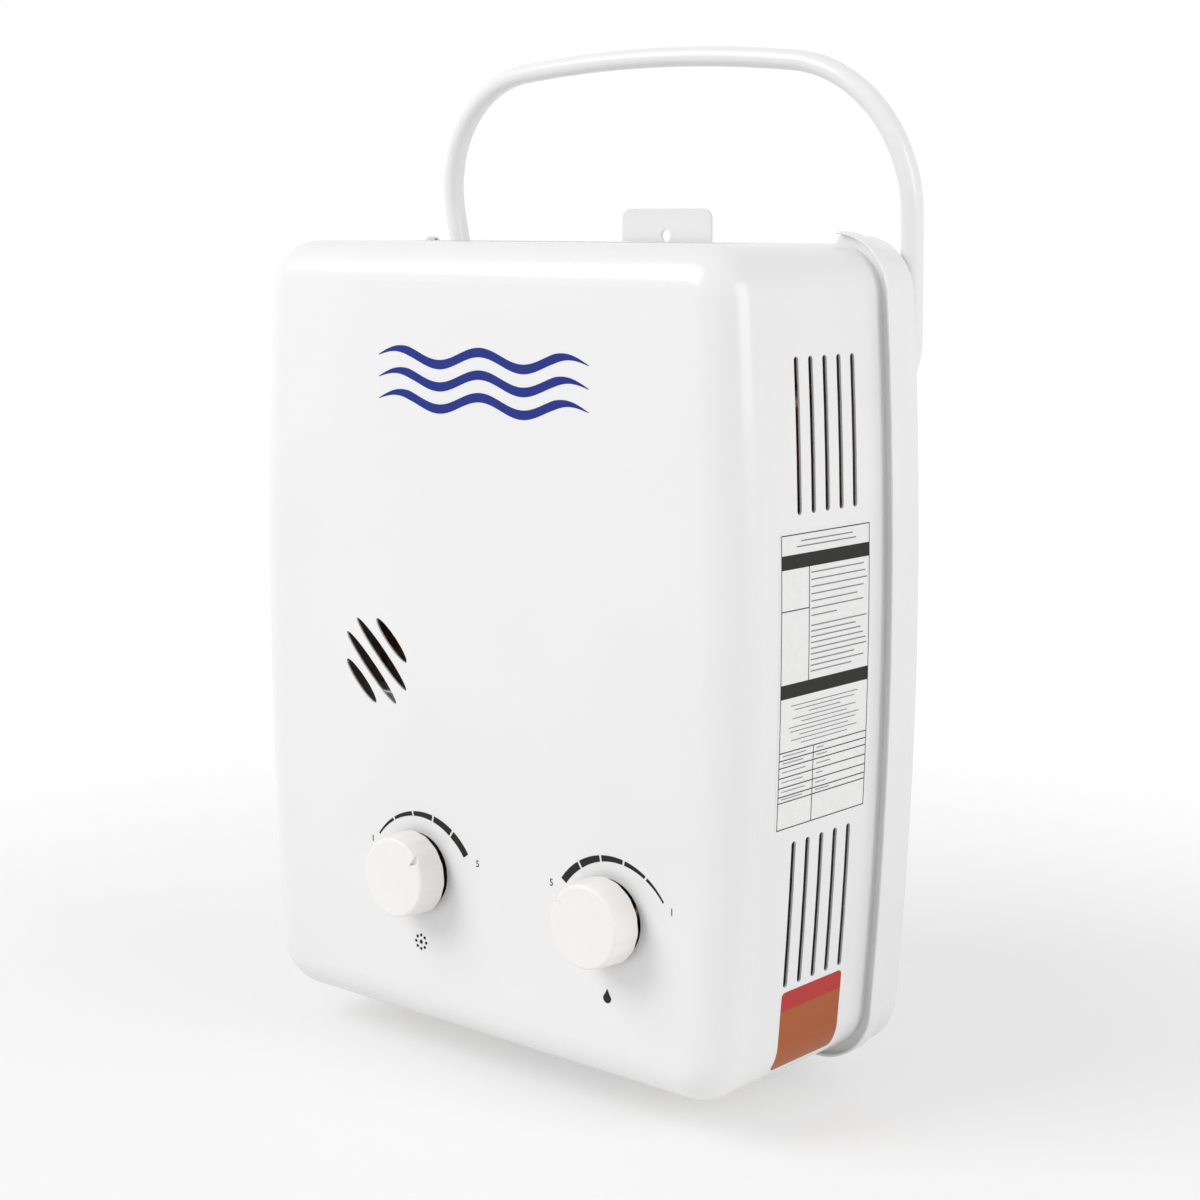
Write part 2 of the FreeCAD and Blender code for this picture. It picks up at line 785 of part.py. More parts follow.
def gas_manifold():
    r = manifold_radius
    end = bar_places()[-1] + r
    body = block(-end, end, y_manifold - r, y_manifold + r, z_injector - r, z_injector + r)
    body = body.makeFillet(1.5, [e for e in body.Edges if is_straight_along(e, X)])
    bore = rod(r - 2, vec(-end + 2, y_manifold, z_injector), X, 2 * end - 4)
    feed = rod(pipe_radius - pipe_wall, vec(knob_left_x, y_manifold, z_injector - r - 1), Z, r)
    jets = [rod(1, vec(x, y_manifold, z_injector), Y, r + 1) for x in bar_places()]
    return cut(body, bore, feed, *jets)


def injectors():
    y0 = y_manifold + manifold_radius
    jets = []
    for x in bar_places():
        body = rod(injector_radius, vec(x, y0, z_injector), Y, manifold_gap)
        jets.append(cut(body, rod(1, vec(x, y0 - 1, z_injector), Y, manifold_gap + 2)))
    return Part.makeCompound(jets)


def gas_feed_pipe():
    z_turn = z_gas_top + bend_radius + 2 * pipe_radius
    low = z_injector - manifold_radius
    points = [vec(knob_left_x, y_valve, z_gas_top), vec(knob_left_x, y_valve, z_turn),
              vec(knob_left_x, y_manifold, z_turn), vec(knob_left_x, y_manifold, low)]
    return tube(points, pipe_radius, pipe_radius - pipe_wall)


def cold_pipe():
    y = pass_places()[0]
    x_out = x_pipe_end + 2 * bend_radius
    z = z_water_top + bend_radius + pipe_radius
    points = [vec(x_pipe_end, y, z_pipe), vec(x_out, y, z_pipe), vec(x_out, y, z),
              vec(knob_right_x, y_valve, z), vec(knob_right_x, y_valve, z_water_top)]
    return tube(points, pipe_radius, pipe_radius - pipe_wall)


def hot_pipe():
    y = pass_places()[-1]
    x_out = -x_pipe_end - 2 * bend_radius
    z = z_outlet_top + 2 * bend_radius + pipe_radius
    points = [vec(-x_pipe_end, y, z_pipe), vec(x_out, y, z_pipe), vec(x_out, y, z),
              vec(hot_outlet_x, y_valve, z), vec(hot_outlet_x, y_valve, z_outlet_top)]
    return tube(points, pipe_radius, pipe_radius - pipe_wall)


def overheat_cutout():
    x = -x_pipe_end - 2 * bend_radius
    y = pass_places()[-1] - pipe_radius - contact_gap
    z = (z_pipe + z_outlet_top) / 2
    saddle = block(x - cutout_radius, x + cutout_radius, y - 2, y, z - cutout_radius, z + cutout_radius)
    can = rod(cutout_radius - 1, vec(x, y - 2, z), -Y, cutout_length)
    front = y - 2 - cutout_length
    tabs = [block(x + dx - 1.5, x + dx + 1.5, front - 5, front, z - 0.4, z + 0.4) for dx in (-4, 4)]
    return fuse(saddle, can, *tabs)


# Valves

def valve_bush(x, front):
    return rod(bush_radius, vec(x, front - bush_length, z_knob), Y, bush_length + 1)


def spindle_bore(x, front):
    return rod(spindle_radius + running_gap, vec(x, front - bush_length - 1, z_knob), Y,
               bush_length + 1 + spindle_engage + contact_gap)


def gas_valve_body():
    half = gas_body_width / 2
    front = y_valve - gas_body_depth / 2
    back = y_valve + gas_body_depth / 2
    body = block(knob_left_x - half, knob_left_x + half, front, back, z_gas_low, z_gas_top)
    body = round_vertical(body, 5)
    body = fuse(body, valve_bush(knob_left_x, front))
    chamber = rod(gas_chamber_radius, vec(x_neck - housing_wall, y_valve, z_knob), -X, gas_chamber_length)
    guide = rod(rod_radius + running_gap, vec(x_neck + 1, y_valve, z_knob), -X, housing_wall + 2)
    inlet = rod(gas_bore, vec(knob_left_x, y_valve, z_gas_low - 1), Z, gas_body_height / 2)
    outlet = rod(pipe_radius - pipe_wall, vec(knob_left_x, y_valve, z_knob + gas_bore), Z, gas_body_height)
    coil = rod(gas_bore, vec(knob_left_x - half - 1, y_valve, z_knob), X, half)
    return cut(body, spindle_bore(knob_left_x, front), chamber, guide, inlet, outlet, coil)


def solenoid_valve():
    start = vec(knob_left_x - gas_body_width / 2, y_valve, z_knob)
    can = rod(solenoid_radius, start - X * 3, -X, solenoid_length - 3)
    collar = rod(solenoid_radius - 2, start, -X, 3)
    cap = rod(solenoid_radius - 4, start - X * solenoid_length, -X, 3)
    return fuse(collar, can, cap)


def spindle(x, front):
    """A valve spindle with a flat on the tip that the knob drives."""
    y_knob = y_face - knob_gap
    tip = rod(spindle_tip_radius, vec(x, y_knob - knob_socket, z_knob), Y, knob_socket + 1)
    flat = block(x - 5, x + 5, y_knob - knob_socket - 1, y_knob, z_knob + spindle_tip_radius / 2, z_knob + 5)
    shaft = rod(spindle_radius, vec(x, y_knob, z_knob), Y, front + spindle_engage - y_knob)
    return fuse(tip.cut(flat), shaft)


def knob(x, turn):
    """A fluted knob. Turn is where its pointer notch stands, clockwise from the top, in degrees."""
    back = y_face - knob_gap
    face = back - knob_length

    def ring_of(radius, y):
        angles = [2 * math.pi * i / knob_flats for i in range(knob_flats + 1)]
        return Part.makePolygon([vec(radius * math.sin(a), y, radius * math.cos(a)) for a in angles])
    grow = 1 / math.cos(math.pi / knob_flats)
    rings = [ring_of(knob_radius * grow, back), ring_of(knob_face_radius * grow, face)]
    fluted = Part.makeLoft(rings, True, True)
    worn = (1 + grow) / 2
    cone = Part.makeCone(knob_radius * worn, knob_face_radius * worn, knob_length, vec(0, back, 0), -Y)
    front = [e for e in cone.Edges if abs(e.CenterOfMass.y - face) < 0.01]
    cone = cone.makeFillet(knob_edge, front)
    body = fluted.common(cone)
    skirt = rod(knob_radius - 4, vec(0, back - knob_length / 2, 0), Y, knob_length)
    core = rod(spindle_tip_radius + 3, vec(0, back - knob_length / 2, 0), Y, knob_length / 2)
    socket_start = vec(0, back - knob_socket - running_gap, 0)
    socket = rod(spindle_tip_radius + running_gap, socket_start, Y, knob_length)
    flat = block(-5, 5, back - knob_length, back + 1, spindle_tip_radius / 2 + running_gap, 8)
    notch = prism([vec(-notch_width / 2, face - 1, knob_face_radius + 1),
                   vec(notch_width / 2, face - 1, knob_face_radius + 1),
                   vec(0, face - 1, knob_face_radius - notch_width)], Y * (1 + notch_depth))
    notch.rotate(vec(0, face, 0), Y, turn)
    body = cut(fuse(body.cut(skirt), core), socket.cut(flat), notch)
    body.translate(vec(x, 0, z_knob))
    return body


def neck_slot():
    """The slot in the neck that the striker moves along."""
    reach = button_radius + contact_gap
    return block(x_striker - rod_travel - reach, x_striker + reach, y_valve - reach, y_valve + reach,
                 z_knob, z_knob + neck_radius + 1)


def diaphragm_housing():
    """The neck that joins the gas valve, and the half of the housing on that side."""
    neck = rod(neck_radius, vec(x_neck, y_valve, z_knob), X, neck_length + 1)
    dish = rod(diaphragm_flange, vec(x_diaphragm - clamp_flange, y_valve, z_knob), X, clamp_flange)
    bowl = rod(diaphragm_radius, vec(x_housing, y_valve, z_knob), X, housing_half)
    hollow = rod(diaphragm_radius - housing_wall, vec(x_housing + housing_wall, y_valve, z_knob), X,
                 housing_half)
    guide = rod(rod_radius + running_gap, vec(x_neck - 1, y_valve, z_knob), X, neck_length + housing_wall + 3)
    return cut(fuse(neck, dish, bowl), hollow, guide, neck_slot(), *clamp_holes())


def clamp_places():
    r = (diaphragm_radius + diaphragm_flange) / 2
    turns = [math.radians(45 + 90 * i) for i in range(4)]
    return [(y_valve + r * math.cos(a), z_knob + r * math.sin(a)) for a in turns]


def clamp_holes():
    start = x_diaphragm - clamp_flange - 1
    length = 2 * clamp_flange + diaphragm_sheet + 2
    return [rod(clamp_radius, vec(start, y, z), X, length) for y, z in clamp_places()]


def clamp_screws():
    """Four screws that hold the two halves of the diaphragm housing together."""
    screws = []
    for y, z in clamp_places():
        head = rod(clamp_radius * 1.7, vec(x_cover + clamp_flange, y, z), X, clamp_head)
        shank = rod(clamp_radius - contact_gap / 4, vec(x_diaphragm - clamp_flange, y, z), X,
                    2 * clamp_flange + diaphragm_sheet)
        screws.append(fuse(head, shank))
    return Part.makeCompound(screws)


def diaphragm():
    disc = rod(diaphragm_flange, vec(x_diaphragm, y_valve, z_knob), X, diaphragm_sheet)
    return cut(disc, *clamp_holes())


def diaphragm_cover():
    dish = rod(diaphragm_flange, vec(x_cover, y_valve, z_knob), X, clamp_flange)
    bowl = rod(diaphragm_radius, vec(x_cover, y_valve, z_knob), X, housing_half)
    hollow = rod(diaphragm_radius - housing_wall, vec(x_cover - 1, y_valve, z_knob), X,
                 housing_half - housing_wall + 1)
    port = rod(water_bore, vec(x_cover, y_valve, z_knob), X, housing_half + 1)
    drain = rod(drain_radius + 2, vec(x_drain, y_valve, z_drain), Z, diaphragm_flange - diaphragm_radius + 6)
    drain_bore = rod(drain_radius, vec(x_drain, y_valve, z_drain - 1), Z, 5)
    return cut(fuse(dish, bowl, drain), hollow, port, drain_bore, *clamp_holes())


def drain_plug():
    stem = rod(drain_radius - contact_gap, vec(x_drain, y_valve, z_drain - 1), Z, 4)
    head = hexagon(2 * drain_radius + 4, vec(x_drain, y_valve, z_drain - 5), 5)
    return fuse(head, stem)


def water_valve_body():
    half = water_body_width / 2
    front = y_valve - water_body_depth / 2
    body = block(knob_right_x - half, knob_right_x + half, front, y_valve + water_body_depth / 2,
                 z_water_low, z_water_top)
    body = round_vertical(body, 5)
    x_joint = x_cover + housing_half
    arm = rod(neck_radius + 1, vec(x_joint, y_valve, z_knob), X, knob_right_x - half - x_joint + 1)
    body = fuse(body, arm, valve_bush(knob_right_x, front))
    column = rod(water_bore, vec(knob_right_x, y_valve, z_water_low - 1), Z, water_body_height + 2)
    cross = rod(water_bore, vec(x_joint - 1, y_valve, z_knob), X, knob_right_x - x_joint)
    return cut(body, column, cross, spindle_bore(knob_right_x, front))


def push_rod():
    """The diaphragm plate, its rod, the gas poppet on the far end and the striker for the switch."""
    x_plate = x_diaphragm - contact_gap
    plate = rod(diaphragm_radius - 2 * housing_wall, vec(x_plate - 1.5, y_valve, z_knob), X, 1.5)
    tip = x_neck - housing_wall - rod_travel
    stem = rod(rod_radius, vec(tip, y_valve, z_knob), X, x_plate - 1 - tip)
    poppet = rod(poppet_radius, vec(tip - poppet_thick, y_valve, z_knob), X, poppet_thick)
    striker = rod(button_radius, vec(x_striker, y_valve, z_knob), Z, neck_radius + switch_height / 2 + 2)
    return fuse(plate, stem, poppet, striker)


def microswitch():
    low = z_knob + neck_radius
    top = low + switch_height
    right = x_button - button_proud
    half = switch_depth / 2
    body = block(right - switch_width, right, y_valve - half, y_valve + half, low, top)
    start = vec(x_button - button_length - rod_travel, y_valve, low + switch_height / 2)
    bore = rod(button_radius + running_gap, start, X, button_length + rod_travel)
    middle = right - switch_width / 2
    tabs = [block(middle - 0.4, middle + 0.4, y_valve + dy - 1.5, y_valve + dy + 1.5, top, top + 5)
            for dy in (-7, 0, 7)]
    return cut(fuse(body, *tabs), bore)


def switch_button():
    z = z_knob + neck_radius + switch_height / 2
    return rod(button_radius, vec(x_button - button_length, y_valve, z), X, button_length)


# Connections

def connection(x, thread, bore, top):
    """A threaded stub below the floor plate, a hexagonal collar on it and a tube up to the valve."""
    lower = rod(thread, vec(x, y_valve, 0), Z, z_floor_top)
    collar = hexagon(2 * (thread + collar_extra) - 4, vec(x, y_valve, z_floor_top), collar_height)
    upper = rod(bore + 2.5, vec(x, y_valve, z_floor_top), Z, top - z_floor_top)
    edge = [e for e in lower.Edges if e.CenterOfMass.z < 0.01]
    lower = lower.makeChamfer(thread_chamfer, edge)
    relief = ring(thread + 1, thread - thread_relief, vec(x, y_valve, thread_length), Z, 2 * thread_relief)
    return cut(fuse(lower, collar, upper), relief, rod(bore, vec(x, y_valve, -1), Z, top + 2))


def inlet_filter():
    low = 3.0
    shell = ring(water_bore - contact_gap, water_bore - 1.2, vec(knob_right_x, y_valve, low), Z, 12)
    cap = rod(water_bore - contact_gap, vec(knob_right_x, y_valve, low + 12), Z, 1)
    return fuse(shell, cap)


# Ignition

def probe_places():
    return (electrode_x, electrode_x - burner_pitch)


def igniter_module():
    x = igniter_x
    z = z_rim + igniter_z
    half = igniter_width / 2
    body = block(x - half, x + half, y_wall - igniter_depth, y_wall, z, z + igniter_height)
    return body.makeFillet(2, [e for e in body.Edges if is_straight_along(e, Y)])


def probe(x, reach):
    """A ceramic sleeve through the front of the chamber, with a wire that bends down over the burner."""
    start = y_chamber - manifold_gap + 2
    sleeve = rod(ceramic_radius, vec(x, start, z_spark), Y, ceramic_length)
    y_end = start + ceramic_length
    y_tip = y_end + reach
    corners = [vec(x, y_end - 1, z_spark), vec(x, y_tip, z_spark), vec(x, y_tip, z_bars + spark_gap)]
    wire = tube(corners, wire_radius, bend=probe_bend)
    return fuse(sleeve, wire)


def lead(x, shift):
    z_low = z_frame - 8
    start = vec(igniter_x + shift, y_wall - igniter_depth, z_rim + igniter_z + igniter_height - 8)
    points = [start, start - Y * lead_run, vec(start.x, y_valve, z_low - 6), vec(x, y_lead, z_low),
              vec(x, y_lead, z_spark - ceramic_radius - contact_gap / 2)]
    return tube(points, lead_radius, bend=lead_bend)


def ignition_leads():
    first, second = probe_places()
    return Part.makeCompound([lead(first, lead_shift), lead(second, -lead_shift)])


# Batteries

def battery_box():
    top = box_height
    outer = block(x_box_left, x_box_right, y_box, y_wall, 0, top)
    inner = block(x_box_left + box_wall, x_box_right - box_wall, y_box + box_wall, y_wall - box_wall,
                  -1, top - box_wall)
    flange = block(x_box_left - box_flange, x_box_right + box_flange, y_box - box_flange, y_wall,
                   z_floor_top, z_floor_top + box_wall)
    hinges = rod(trunnion_radius + running_gap, vec(x_box_left - 1, y_hinge, z_hinge), X, box_width + 2)
    return cut(fuse(outer, flange), inner, hinges)


def battery_door():
    left = x_box_left + box_wall + door_gap
    right = x_box_right - box_wall - door_gap
    slab = block(left, right, y_box + box_wall + door_gap, y_hinge, 0, door_thick)
    barrel = rod(door_thick / 2, vec(left, y_hinge, z_hinge), X, right - left)
    pins = rod(trunnion_radius, vec(x_box_left + box_wall - trunnion_length, y_hinge, z_hinge), X,
               right - left + 2 * (trunnion_length + door_gap))
    return fuse(slab, barrel, pins)


def battery_cells():
    low = door_thick + contact_thick + door_gap
    cells = []
    for side in (-1, 1):
        x = box_x + side * (cell_radius + cell_gap / 2)
        y = y_box + box_depth / 2
        can = rod(cell_radius, vec(x, y, low), Z, cell_length - 1.5)
        rims = [e for e in can.Edges if e.Curve.TypeId == "Part::GeomCircle"]
        can = can.makeFillet(1, rims)
        cells.append(fuse(can, rod(5, vec(x, y, low + cell_length - 2), Z, 2)))
    return Part.makeCompound(cells)


def battery_contacts():
    top = box_height - box_wall
    plates = []
    for side in (-1, 1):
        x = box_x + side * (cell_radius + cell_gap / 2)
        y = y_box + box_depth / 2
        plates.append(block(x - contact_width / 2, x + contact_width / 2, y - contact_depth / 2,
                            y + contact_depth / 2, top - contact_thick, top))
    return Part.makeCompound(plates)


def door_contact():
    y = y_box + box_depth / 2
    reach = cell_radius + cell_gap / 2 + contact_width / 2 - 2
    return block(box_x - reach, box_x + reach, y - contact_depth / 2, y + contact_depth / 2,
                 door_thick, door_thick + contact_thick)


gas_front = y_valve - gas_body_depth / 2
water_front = y_valve - water_body_depth / 2
nodes = {
    "rear_casing": rear_casing(),
    "front_cover": front_cover(),
    "floor_plate": floor_plate(),
    "cover_screws": cover_screws(),
    "top_hooks": top_hooks(),
    "exhaust_grille": exhaust_grille(),
    "hanger_tab": hanger_tab(),
    "handle_saddles": handle_saddles(),
    "handle_screws": handle_screws(),
    "handle": handle_rod(),
    "combustion_chamber": combustion_chamber(),
    "exchanger_fins": exchanger_fins(),
    "exchanger_pipe": exchanger_pipes(),
    "flue_hood": flue_hood(),
    "chamber_brackets": chamber_brackets(),
    "burner_bars": burner_bars(),
    "burner_frame": burner_frame(),
    "gas_manifold": gas_manifold(),
    "gas_injectors": injectors(),
    "gas_feed_pipe": gas_feed_pipe(),
    "cold_water_pipe": cold_pipe(),
    "hot_water_pipe": hot_pipe(),
    "overheat_cutout": overheat_cutout(),
    "gas_valve_body": gas_valve_body(),
    "solenoid_valve": solenoid_valve(),
    "gas_spindle": spindle(knob_left_x, gas_front),
    "gas_knob": knob(knob_left_x, dial_stop),
    "diaphragm_housing": diaphragm_housing(),
    "diaphragm_cover": diaphragm_cover(),
    "diaphragm": diaphragm(),
    "clamp_screws": clamp_screws(),
    "drain_plug": drain_plug(),
    "water_valve_body": water_valve_body(),
    "water_spindle": spindle(knob_right_x, water_front),
    "water_knob": knob(knob_right_x, -dial_stop),
    "push_rod": push_rod(),
    "microswitch": microswitch(),
    "switch_button": switch_button(),
    "gas_inlet": connection(knob_left_x, gas_thread_radius, gas_bore, z_gas_low),
    "cold_water_inlet": connection(knob_right_x, water_thread_radius, water_bore, z_water_low),
    "hot_water_outlet": connection(hot_outlet_x, water_thread_radius, water_bore, z_outlet_top),
    "inlet_filter": inlet_filter(),
    "igniter_module": igniter_module(),
    "ignition_electrode": probe(electrode_x, electrode_reach),
    "flame_sensor": probe(electrode_x - burner_pitch, sensor_reach),
    "ignition_leads": ignition_leads(),
    "battery_box": battery_box(),
    "battery_door": battery_door(),
    "battery_cells": battery_cells(),
    "battery_contacts": battery_contacts(),
    "door_contact": door_contact(),
}

for name, shape in nodes.items():
    save(name, shape)
    box = shape.BoundBox
    print(name, shape.ShapeType, len(shape.Solids), shape.isValid(), round(shape.Volume),
          [round(v, 1) for v in (box.XMin, box.XMax, box.YMin, box.YMax, box.ZMin, box.ZMax)])
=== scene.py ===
import json
import math

import bmesh
import bpy
from mathutils import Matrix, Vector


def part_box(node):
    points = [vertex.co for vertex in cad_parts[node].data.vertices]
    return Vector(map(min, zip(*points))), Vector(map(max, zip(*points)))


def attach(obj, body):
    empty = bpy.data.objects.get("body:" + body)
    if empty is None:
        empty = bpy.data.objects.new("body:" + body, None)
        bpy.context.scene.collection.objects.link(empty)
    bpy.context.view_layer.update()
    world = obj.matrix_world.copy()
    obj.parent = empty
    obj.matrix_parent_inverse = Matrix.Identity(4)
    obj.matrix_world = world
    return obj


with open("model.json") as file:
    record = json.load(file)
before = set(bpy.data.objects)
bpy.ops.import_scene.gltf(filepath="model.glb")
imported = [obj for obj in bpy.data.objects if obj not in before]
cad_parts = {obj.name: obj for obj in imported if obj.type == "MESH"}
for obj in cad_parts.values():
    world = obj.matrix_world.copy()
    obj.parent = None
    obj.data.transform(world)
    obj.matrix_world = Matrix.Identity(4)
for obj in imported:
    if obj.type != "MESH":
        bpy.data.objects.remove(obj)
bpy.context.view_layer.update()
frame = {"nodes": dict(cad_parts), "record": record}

# A white portable gas water heater: bowed casing, two fluted knobs, folding bail and hanging tab.
# Everything is in metres, in the frame of the solids. Y runs from the front panel to the back.

MM = 0.001
nodes = frame["nodes"]


def low(node):
    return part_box(node)[0]


def high(node):
    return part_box(node)[1]


# Places read from the solids
y_face = low("front_cover").y
z_cover = low("front_cover").z
z_rim = low("rear_casing").z
z_rim_top = high("rear_casing").z
z_mid = (z_rim + z_rim_top) / 2
half_cover = high("front_cover").x
gas_x = (low("gas_knob").x + high("gas_knob").x) / 2
water_x = (low("water_knob").x + high("water_knob").x) / 2
knob_z = (low("gas_knob").z + high("gas_knob").z) / 2
half_height = (z_rim_top - z_rim) / 2

# Casing shape
side_bow = 9 * MM
cover_corner = 24 * MM

# Print on the front
print_lift = 0.12 * MM
dial_drop = 8 * MM
dial_radius = 34.5 * MM
dial_span = math.radians(54.2)
dial_thick = 3.5 * MM
dial_thin = 0.8 * MM
dial_segments = 5
dial_gap = math.radians(0.9)
dial_growth = 1.25
gas_dial_shift = 2.2 * MM
water_dial_shift = 1.5 * MM
digit_size = 4.6 * MM
digit_drop = 3.5 * MM
digit_low_shift = 4.3 * MM
digit_high_shift = 6.0 * MM
low_digit = "1"
high_digit = "5"

# Marks under the knobs, and the waves near the top
drop_x = 80.2 * MM
drop_z = z_rim + 46.5 * MM
drop_radius = 2.3 * MM
drop_height = 4.2 * MM
drop_narrowing = 0.55
drop_steps = 28
burner_x = -35.5 * MM
burner_z = z_rim + 48 * MM
burner_radius = 3.3 * MM
burner_dot = 0.75 * MM
burner_dots = 8
burner_middle = 1.3
wave_left = -60 * MM
wave_right = 68 * MM
wave_middle = z_rim + 314 * MM
wave_pitch = 10 * MM
wave_rise = 3.2 * MM
wave_thick = 4.2 * MM
wave_count = 3
wave_turns = 2.5
wave_taper = 6
wave_tip = 0.08

# Side label, measured from the front panel and the bottom of the rim
label_front = y_face + 28.7 * MM
label_back = y_face + 96.9 * MM
label_low = z_rim + 126.6 * MM
label_high = z_rim + 256.5 * MM
label_margin = 1.4 * MM
label_line = 0.45 * MM
ink_lift = 0.18 * MM
side_step = 5 * MM
bar_thick = 0.0042
thin_bar = 0.003

# Print of the side label, in shares of its frame: down from its top, across from its front
label_bands = ((0.068, 0.116), (0.502, 0.550))
label_column = 0.305
label_cell = 0.253
table_top = 0.731
table_column = 0.38
table_lines = (0.731, 0.757, 0.782, 0.817, 0.851, 0.882, 0.903)
title_bars = ((0.22, 0.80, 0.025), (0.17, 0.84, 0.043))
text_left = 0.33
upper_text = (0.93, 0.95, 0.97, 0.93, 0.86, 0.93, 0.62)
upper_text_top = 0.137
upper_text_pitch = 0.0245
lower_text = (0.97, 0.84, 0.90, 0.93, 0.96, 0.97, 0.83, 0.94, 0.80)
lower_text_top = 0.318
lower_text_pitch = 0.0195
notes = ((0.12, 0.88), (0.16, 0.84), (0.32, 0.68), (0.14, 0.86), (0.24, 0.76),
         (0.10, 0.90), (0.12, 0.86), (0.22, 0.78), (0.13, 0.88), (0.24, 0.77))
notes_top = 0.578
notes_pitch = 0.0148
table_rows = (0.745, 0.770, 0.800, 0.834, 0.867, 0.893)

# Coloured sticker at the lower right, which wraps under the corner
sticker_front = y_face + 41.8 * MM
sticker_back = y_face + 87.0 * MM
sticker_top = z_rim + 52.3 * MM
sticker_split = z_rim + 43.6 * MM
sticker_round = 2.2 * MM
sticker_wrap = math.radians(36)

# Camera
photo_size = 1200
camera_place = Vector((0.70979, y_face - 0.74067, z_rim + 0.38132))
camera_yaw = math.radians(40.60)
camera_pitch = math.radians(-9.17)
camera_roll = math.radians(0.26)
focal_pixels = 2296.33
sensor_width = 36.0

# Light
world_strength = 0.52
key_power = 40
key_place = (-1.2, -1.9, 1.9)
key_size = (1.6, 1.6)
fill_power = 13
fill_place = (2.0, 0.2, 0.9)
fill_size = (1.2, 1.2)
light_target = (0, 0, 0.2)

# Floor
floor_reach = 6
fade_start = 0.22
fade_end = 0.75
fade_least = 0.5


# Materials

def socket(shader, name, value):
    shader.inputs[name].default_value = value


def new_material(name, colour, roughness, metallic=0.0, coat=0.0, coat_roughness=0.1):
    material = bpy.data.materials.new(name)
    material.use_nodes = True
    shader = material.node_tree.nodes["Principled BSDF"]
    socket(shader, "Base Color", (*colour, 1))
    socket(shader, "Roughness", roughness)
    socket(shader, "Metallic", metallic)
    socket(shader, "Coat Weight", coat)
    socket(shader, "Coat Roughness", coat_roughness)
    return material, shader


def add_node(material, kind, **inputs):
    node = material.node_tree.nodes.new(kind)
    for name, value in inputs.items():
        node.inputs[name.replace("_", " ")].default_value = value
    return node


def link(material, source, out, target, into):
    material.node_tree.links.new(source.outputs[out], target.inputs[into])


def object_coordinates(material, stretch=(1, 1, 1)):
    place = add_node(material, "ShaderNodeTexCoord")
    mapping = add_node(material, "ShaderNodeMapping", Scale=stretch)
    link(material, place, "Object", mapping, "Vector")
    return mapping


def noise(material, scale, detail=2.0, stretch=(1, 1, 1)):
    texture = add_node(material, "ShaderNodeTexNoise", Scale=scale, Detail=detail)
    link(material, object_coordinates(material, stretch), "Vector", texture, "Vector")
    return texture


def bump_from(material, shader, texture, output, height, strength):
    bump = add_node(material, "ShaderNodeBump", Strength=strength, Distance=height)
    link(material, texture, output, bump, "Height")
    link(material, bump, "Normal", shader, "Normal")
    return bump


def vary_colour(material, shader, texture, dark, light, spread=0.35):
    """The base colour runs between two close tones."""
    ramp = add_node(material, "ShaderNodeValToRGB")
    ramp.color_ramp.elements[0].position = 0.5 - spread / 2
    ramp.color_ramp.elements[1].position = 0.5 + spread / 2
    ramp.color_ramp.elements[0].color = (*dark, 1)
    ramp.color_ramp.elements[1].color = (*light, 1)
    link(material, texture, 0, ramp, "Fac")
    link(material, ramp, "Color", shader, "Base Color")


def vary_roughness(material, shader, texture, low_value, high_value):
    spread = add_node(material, "ShaderNodeMapRange")
    spread.inputs["To Min"].default_value = low_value
    spread.inputs["To Max"].default_value = high_value
    link(material, texture, 0, spread, "Value")
    link(material, spread, "Result", shader, "Roughness")


def enamel():
    """White powder coat, with the faint orange peel of a sprayed and baked finish."""
    material, shader = new_material("white_enamel", (0.86, 0.86, 0.86), 0.32, coat=0.35, coat_roughness=0.12)
    cloud = noise(material, 9.0)
    vary_colour(material, shader, cloud, (0.845, 0.845, 0.85), (0.875, 0.872, 0.872))
    vary_roughness(material, shader, noise(material, 60.0), 0.26, 0.38)
    bump_from(material, shader, noise(material, 420.0, 3.0), 0, 0.00005, 0.25)
    return material


def knob_plastic():
    material, shader = new_material("knob_plastic", (0.86, 0.84, 0.82), 0.42)
    vary_colour(material, shader, noise(material, 30.0), (0.89, 0.868, 0.85), (0.92, 0.90, 0.885))
    bump_from(material, shader, noise(material, 1500.0, 2.0), 0, 0.00003, 0.3)
    return material


def glazed_ceramic():
    material, shader = new_material("ceramic", (0.80, 0.78, 0.73), 0.3, coat=0.3)
    vary_colour(material, shader, noise(material, 140.0, 3.0), (0.76, 0.74, 0.69), (0.84, 0.82, 0.77))
    bump_from(material, shader, noise(material, 500.0, 2.0), 0, 0.00004, 0.2)
    return material


def rolled_metal(name, dark, light, roughness, stretch, height=0.00004):
    """Sheet or bar metal with fine lines along its grain."""
    material, shader = new_material(name, light, roughness, metallic=1.0)
    grain = noise(material, 90.0, 4.0, stretch)
    vary_colour(material, shader, grain, dark, light, 0.5)
    vary_roughness(material, shader, grain, roughness * 0.8, roughness * 1.3)
    bump_from(material, shader, grain, 0, height, 0.25)
    return material


def cast_metal():
    material, shader = new_material("cast_aluminium", (0.62, 0.63, 0.64), 0.5, metallic=1.0)
    grit = noise(material, 700.0, 5.0)
    vary_colour(material, shader, grit, (0.52, 0.53, 0.54), (0.68, 0.69, 0.70))
    bump_from(material, shader, grit, 0, 0.0003, 0.4)
    return material


def grained_plastic(name, dark, light, roughness):
    material, shader = new_material(name, light, roughness)
    grain = noise(material, 1200.0, 3.0)
    vary_colour(material, shader, grain, dark, light, 0.6)
    bump_from(material, shader, grain, 0, 0.00008, 0.5)
    return material


